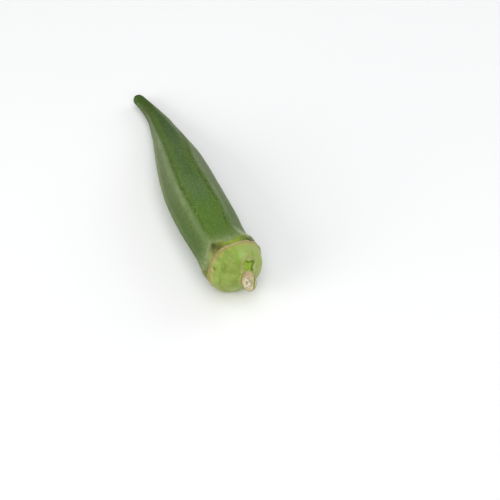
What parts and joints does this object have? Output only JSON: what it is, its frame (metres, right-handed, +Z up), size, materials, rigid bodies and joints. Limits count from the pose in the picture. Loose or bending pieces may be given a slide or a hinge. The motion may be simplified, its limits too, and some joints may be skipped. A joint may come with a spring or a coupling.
{
  "type": "okra pod",
  "caption": "Fresh green okra pod lying down: a ridged, tapering seed pod with a corky ring, a smooth rounded cap and a short cut stem.",
  "frame": {"origin": "under the middle of the pod's bounding box, on the surface the pod lies on", "axes": "+X towards the cut stem along the pod's length, the tip points to -X, +Z up"},
  "size_m": [0.119, 0.0224, 0.0217],
  "materials": {
    "pod_skin": "soft velvety plant skin with a low sheen"
  },
  "bodies": {
    "root": {"okra_pod": "pod_skin"}
  },
  "joints": []
}
